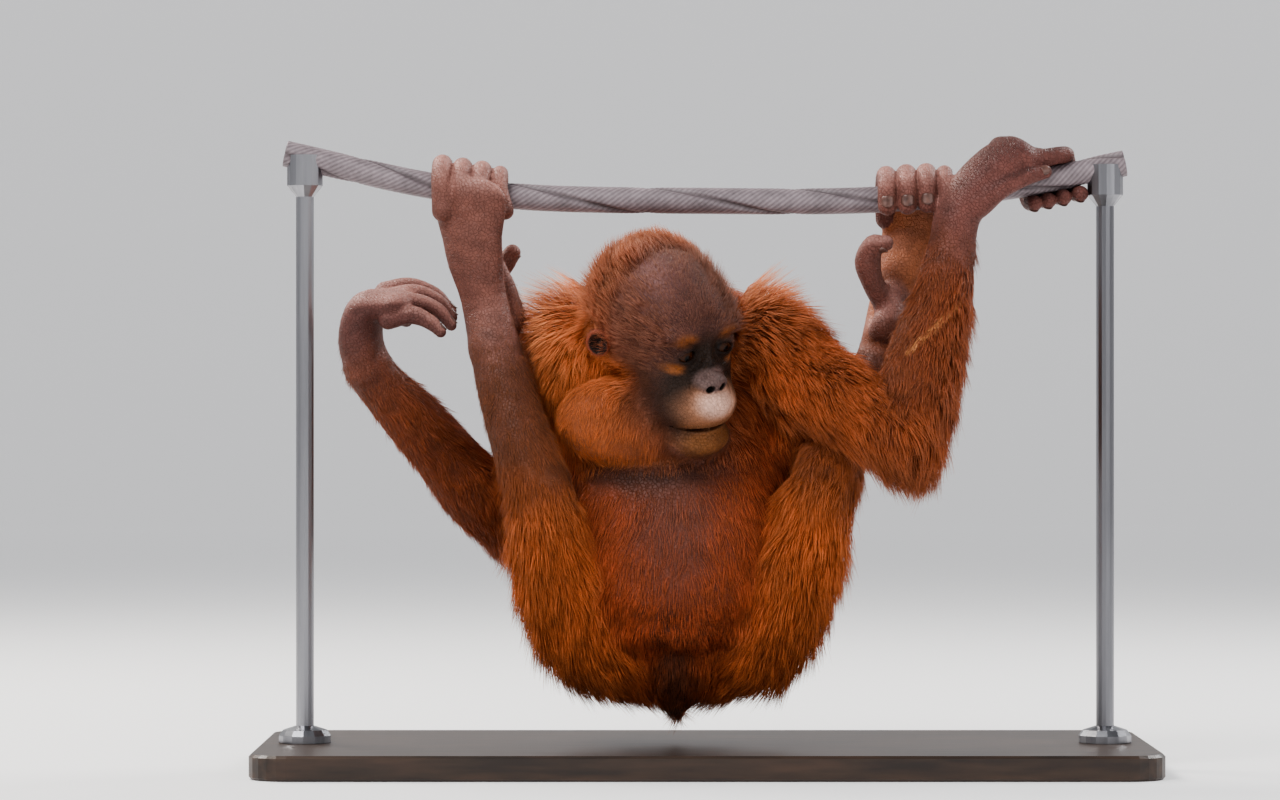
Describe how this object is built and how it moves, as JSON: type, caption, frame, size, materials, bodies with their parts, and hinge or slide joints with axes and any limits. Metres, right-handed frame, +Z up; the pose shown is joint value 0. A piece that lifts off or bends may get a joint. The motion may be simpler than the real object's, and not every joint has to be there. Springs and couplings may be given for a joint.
{
  "type": "orangutan",
  "caption": "Life-size young orangutan hanging from a short twisted rope by both feet and one hand, on a flat display stand.",
  "frame": {"origin": "middle of the underside of the stand's base", "axes": "+Z up, +X along the rope to the right of a viewer who faces the belly, +Y away from that viewer"},
  "size_m": [0.64, 0.27, 0.4539],
  "materials": {
    "coat": "long soft hair",
    "skin": "fine-grained skin, slightly moist on the face",
    "nail": "smooth dark nail",
    "eye": "wet gloss",
    "rope": "worn, tightly twisted",
    "base": "satin dark stained wood",
    "rod": "satin"
  },
  "bodies": {
    "root": {"torso": "coat", "neck": "coat", "head": "skin", "ear_right": "skin", "ear_left": "skin", "eye_right": "eye", "eye_left": "eye", "upper_arm_right": "coat", "forearm_right": "coat", "hand_right": "skin", "upper_arm_left": "coat", "forearm_left": "coat", "hand_left": "skin", "thigh_right": "coat", "shin_right": "coat", "foot_right": "skin", "thigh_left": "coat", "shin_left": "coat", "foot_left": "skin", "rope": "rope", "stand_base": "base", "stand_rod_right": "rod", "stand_rod_left": "rod"}
  },
  "joints": []
}
